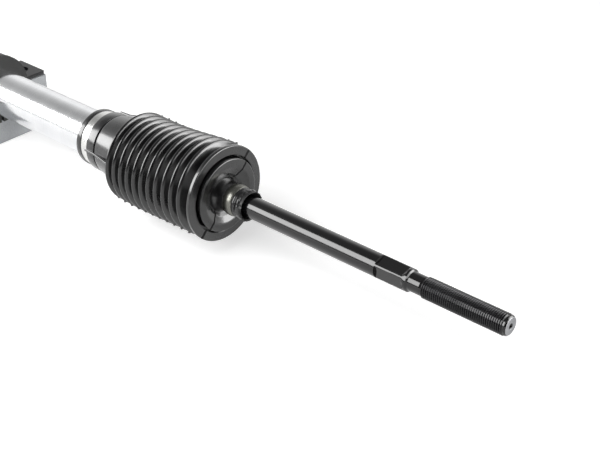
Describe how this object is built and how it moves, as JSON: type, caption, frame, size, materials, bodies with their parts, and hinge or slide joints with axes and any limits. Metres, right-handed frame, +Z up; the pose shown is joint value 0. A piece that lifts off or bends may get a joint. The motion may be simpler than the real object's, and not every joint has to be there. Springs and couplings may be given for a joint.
{
  "type": "steering rack",
  "caption": "Manual rack and pinion steering gear with rubber bellows, inner ball joints, tie rods and a two-point mount.",
  "frame": {"origin": "on the mounting plane, midway between the two bolt holes of the pinion housing's foot", "axes": "+X along the rack from the pinion towards the plain end of the tube, +Z up from the mounting plane, -Y on the support yoke's side"},
  "size_m": [1.165, 0.1066, 0.107],
  "materials": {
    "cast_housing": "sand-cast, lightly blasted",
    "cast_saddle": "sand-cast",
    "bright_tube": "bright zinc-plated tube",
    "ground_steel": "ground steel",
    "bearing_steel": "ground, polished",
    "plated_steel": "zinc-plated",
    "stainless_band": "stainless band",
    "passivated_band": "olive passivated band",
    "strap_steel": "black coated",
    "boot_rubber": "satin moulded rubber",
    "bush_rubber": "matt rubber",
    "seal_rubber": "matt rubber",
    "acetal": "acetal",
    "yoke_alloy": "machined",
    "black_rod": "gloss black",
    "black_socket": "black phosphate"
  },
  "bodies": {
    "housing": {"left_boot": "boot_rubber", "left_large_clamp": "stainless_band", "lower_bearing": "bearing_steel", "mount_bush": "bush_rubber", "mount_saddle": "cast_saddle", "mount_strap": "strap_steel", "pinion_dust_cover": "seal_rubber", "pinion_housing": "cast_housing", "pinion_retainer": "plated_steel", "pinion_seal": "seal_rubber", "rack_bush": "acetal", "rack_tube": "bright_tube", "right_boot": "boot_rubber", "right_large_clamp": "stainless_band", "upper_bearing": "bearing_steel", "yoke": "yoke_alloy", "yoke_liner": "acetal", "yoke_locknut": "plated_steel", "yoke_o_ring": "seal_rubber", "yoke_plug": "plated_steel", "yoke_spring": "bearing_steel"},
    "rack": {"rack_bar": "ground_steel", "right_inner_socket": "black_socket", "right_lock_washer": "plated_steel", "left_inner_socket": "black_socket", "left_lock_washer": "plated_steel"},
    "pinion": {"pinion_shaft": "ground_steel"},
    "right_seat": {"right_ball_seat": "acetal"},
    "right_cuff": {"right_small_clamp": "passivated_band"},
    "right_rod": {"right_tie_rod": "black_rod"},
    "left_seat": {"left_ball_seat": "acetal"},
    "left_cuff": {"left_small_clamp": "passivated_band"},
    "left_rod": {"left_tie_rod": "black_rod"}
  },
  "joints": [
    {"name": "rack_slide", "type": "slide", "parent": "housing", "child": "rack", "axis": [1, 0, 0], "range_m": [-0.06, 0.06], "deforming": ["right_boot", "left_boot"]},
    {"name": "pinion_spin", "type": "hinge", "parent": "housing", "child": "pinion", "pos_m": [-0.038, 0.01379, 0.04298], "axis": [0, 0.342, 0.9397], "range_deg": [-540, 540]},
    {"name": "right_vertical_swing", "type": "hinge", "parent": "rack", "child": "right_seat", "pos_m": [0.452, 0, 0.048], "axis": [0, 1, 0], "range_deg": [-16, 16], "deforming": ["right_boot"]},
    {"name": "right_fore_aft_swing", "type": "hinge", "parent": "right_seat", "child": "right_cuff", "pos_m": [0.452, 0, 0.048], "axis": [0, 0, 1], "range_deg": [-16, 16], "deforming": ["right_boot"]},
    {"name": "right_rod_spin", "type": "hinge", "parent": "right_cuff", "child": "right_rod", "pos_m": [0.452, 0, 0.048], "axis": [1, 0, 0], "continuous": true},
    {"name": "left_vertical_swing", "type": "hinge", "parent": "rack", "child": "left_seat", "pos_m": [-0.228, 0, 0.048], "axis": [0, 1, 0], "range_deg": [-16, 16], "deforming": ["left_boot"]},
    {"name": "left_fore_aft_swing", "type": "hinge", "parent": "left_seat", "child": "left_cuff", "pos_m": [-0.228, 0, 0.048], "axis": [0, 0, 1], "range_deg": [-16, 16], "deforming": ["left_boot"]},
    {"name": "left_rod_spin", "type": "hinge", "parent": "left_cuff", "child": "left_rod", "pos_m": [-0.228, 0, 0.048], "axis": [1, 0, 0], "continuous": true}
  ],
  "couplings": [
    {"joint": "pinion_spin", "follows": "rack_slide", "rad_per_m": 156.25}
  ]
}
